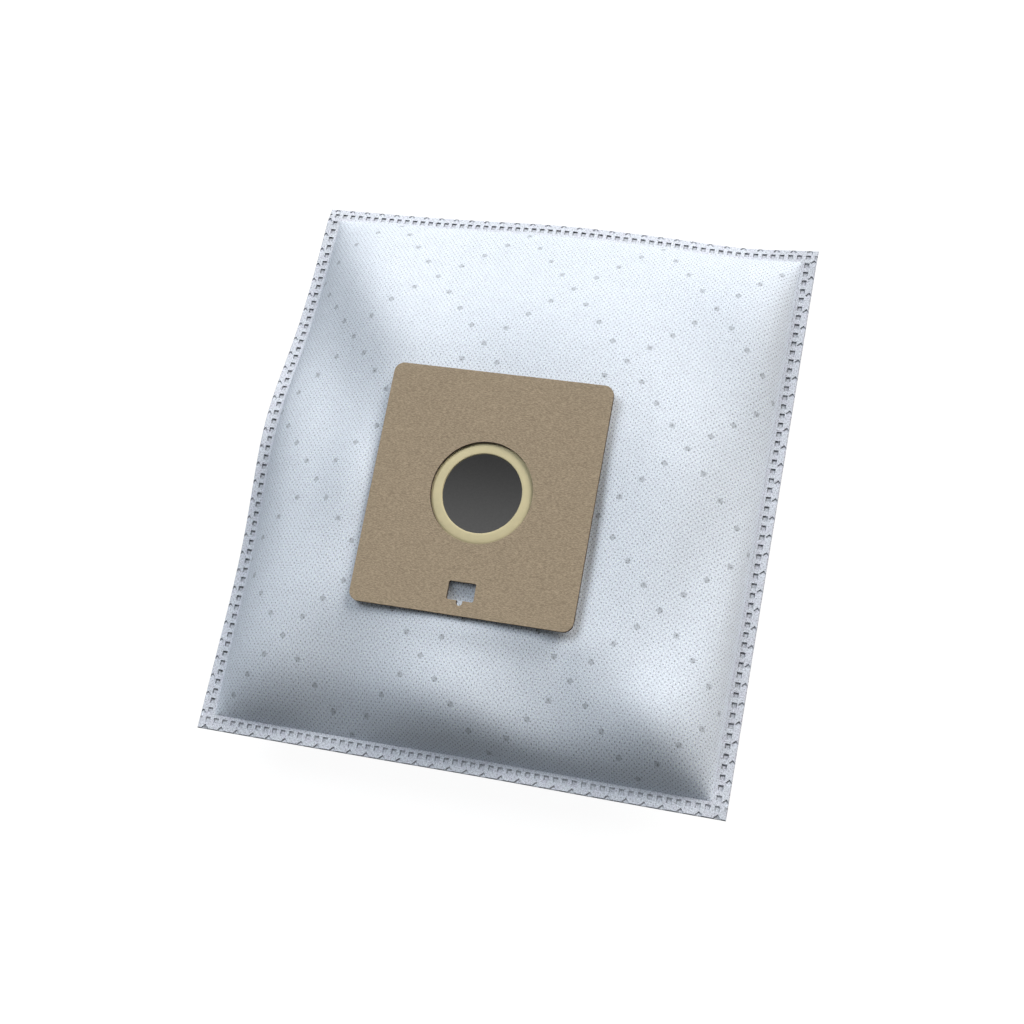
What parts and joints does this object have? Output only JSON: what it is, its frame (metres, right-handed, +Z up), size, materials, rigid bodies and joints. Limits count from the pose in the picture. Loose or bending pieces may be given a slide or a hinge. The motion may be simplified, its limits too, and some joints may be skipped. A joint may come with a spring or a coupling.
{
  "type": "vacuum cleaner dust bag",
  "caption": "Puffed fleece dust bag with a welded hem, a board collar with a keyed slot, and a rubber seal ring round an open intake hole.",
  "frame": {"origin": "middle of the bag's outline, on the surface that its back lies on", "axes": "+Z up out of the collar side, +Y towards the far end of the bag, away from the collar's keyed slot, +X to the right seen from above"},
  "size_m": [0.24, 0.2636, 0.0803],
  "materials": {
    "fleece": "matt cool-white bonded fleece with fine bond points, dark grey on the inside",
    "board": "matt grey-brown pressed fibre board made of wood pulp",
    "seal_rubber": "satin cream rubber"
  },
  "bodies": {
    "root": {"front_panel": "fleece", "back_panel": "fleece", "collar_plate": "board", "seal_ring": "seal_rubber"}
  },
  "joints": []
}
